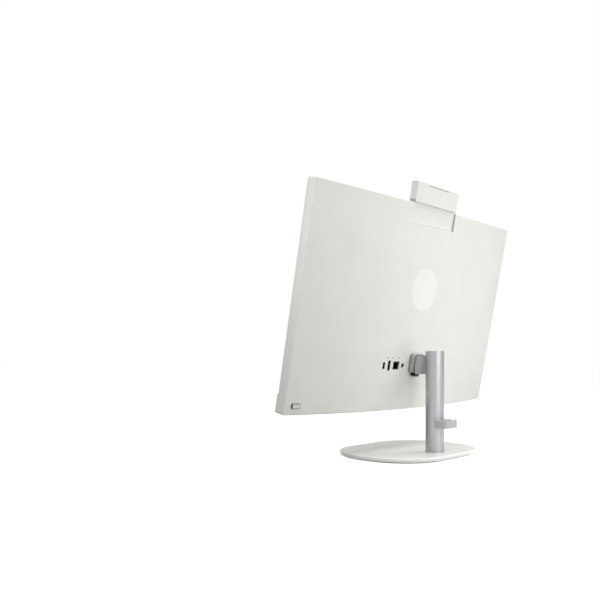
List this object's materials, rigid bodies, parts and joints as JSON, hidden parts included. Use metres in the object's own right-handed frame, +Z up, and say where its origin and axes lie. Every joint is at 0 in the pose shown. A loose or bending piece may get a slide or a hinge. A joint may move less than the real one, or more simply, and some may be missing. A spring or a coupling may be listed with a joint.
{
  "type": "all-in-one desktop computer",
  "caption": "Bowed display head with the computer inside, raised pop-up camera and upright rear ports, tilting on a round post with a cable clip and a flat rounded base.",
  "frame": {"origin": "centre of the base's underside, on the desk", "axes": "+X to the right seen from the front, screen faces -Y, +Z up"},
  "size_m": [0.541, 0.1814, 0.4327],
  "materials": {
    "shell_plastic": "fine-grained moulded ABS, warm white",
    "badge_plastic": "satin bare disc",
    "mask_plastic": "black textured border",
    "display_glass": "anti-glare polariser on glass",
    "light_guide_acrylic": "clear moulded acrylic",
    "tray_aluminium": "folded sheet",
    "chassis_steel": "zinc-plated sheet",
    "circuit_board": "solder mask on glass fibre laminate",
    "chip_epoxy": "moulded epoxy packages",
    "heat_copper": "copper, skived and nickel free",
    "fin_aluminium": "folded fins",
    "fan_plastic": "glass-filled polymer",
    "socket_plastic": "moulded connector body",
    "screw_steel": "zinc-plated",
    "cell_steel": "nickel-plated can",
    "connector_steel": "black-nickel-plated formed shell",
    "jack_plastic": "black moulded jack",
    "speaker_plastic": "sealed enclosure",
    "antenna_foil": "etched copper foil",
    "button_plastic": "moulded key",
    "window_acrylic": "tinted window",
    "lens_glass": "coated lens",
    "barrel_plastic": "threaded barrel",
    "rail_acetal": "black acetal guide",
    "latch_plastic": "black moulded key",
    "hinge_casting": "powder-coated zinc casting",
    "arm_casting": "grey painted aluminium casting",
    "pin_steel": "hardened pin",
    "post_aluminium": "satin anodised tube",
    "base_paint": "satin powder coat, warm white",
    "pad_rubber": "soft non-slip ring",
    "clip_plastic": "silver-grey moulding"
  },
  "bodies": {
    "stand": {"neck_arm": "arm_casting", "hinge_pin": "pin_steel", "friction_washers": "pin_steel", "post_tube": "post_aluminium", "post_cap": "post_aluminium", "post_core": "arm_casting", "core_screws": "screw_steel", "post_foot": "arm_casting", "base_plate": "base_paint", "base_screws": "screw_steel", "base_pad": "pad_rubber", "cable_clip": "clip_plastic"},
    "head": {"rear_cover": "shell_plastic", "badge_disc": "badge_plastic", "vent_grilles": "shell_plastic", "front_bezel": "shell_plastic", "display_mask": "mask_plastic", "lcd_panel": "display_glass", "light_guide": "light_guide_acrylic", "backlight_tray": "tray_aluminium", "chin_cover": "shell_plastic", "chassis_plate": "chassis_steel", "mainboard": "circuit_board", "board_screws": "screw_steel", "processor": "chip_epoxy", "cold_plate": "heat_copper", "heat_pipe": "heat_copper", "fin_stack": "fin_aluminium", "blower_housing": "fan_plastic", "blower_cover": "tray_aluminium", "memory_modules": "circuit_board", "memory_sockets": "socket_plastic", "solid_state_drive": "circuit_board", "wireless_card": "circuit_board", "coin_cell": "cell_steel", "hdmi_port": "connector_steel", "usb_c_port": "connector_steel", "usb_a_ports": "connector_steel", "ethernet_port": "jack_plastic", "dc_inlet": "jack_plastic", "audio_jack": "jack_plastic", "speaker_left": "speaker_plastic", "speaker_right": "speaker_plastic", "antennas": "antenna_foil", "power_board": "circuit_board", "camera_rails": "rail_acetal", "push_latch_body": "latch_plastic", "hinge_bracket": "hinge_casting", "mast_screws": "screw_steel"},
    "camera": {"camera_rear_shell": "shell_plastic", "camera_front_shell": "shell_plastic", "camera_window": "window_acrylic", "lens_barrel": "barrel_plastic", "camera_lens": "lens_glass", "camera_board": "circuit_board", "push_latch_rod": "pin_steel"},
    "blower_rotor": {"blower_impeller": "fan_plastic"},
    "power_key": {"power_button": "button_plastic"},
    "release_key": {"release_latch": "latch_plastic"}
  },
  "joints": [
    {"name": "head_tilt", "type": "hinge", "parent": "stand", "child": "head", "pos_m": [0, 0.0288, 0.147], "axis": [-1, 0, 0], "range_deg": [-15.92, 9.08]},
    {"name": "camera_popup", "type": "slide", "parent": "head", "child": "camera", "axis": [0, 0.1894, 0.9819], "range_m": [-0.0315, 0], "stiffness_N_per_m": 80, "springref_m": 0.02},
    {"name": "blower_spin", "type": "hinge", "parent": "head", "child": "blower_rotor", "pos_m": [-0.122, 0.02047, 0.29648], "axis": [0, 0.9819, -0.1894], "continuous": true},
    {"name": "power_key_press", "type": "slide", "parent": "head", "child": "power_key", "axis": [0, -0.9819, 0.1894], "range_m": [0, 0.0008], "stiffness_N_per_m": 800, "springref_m": -0.001},
    {"name": "release_key_press", "type": "slide", "parent": "head", "child": "release_key", "axis": [0, 0.1894, 0.9819], "range_m": [0, 0.002], "stiffness_N_per_m": 400, "springref_m": -0.002}
  ]
}
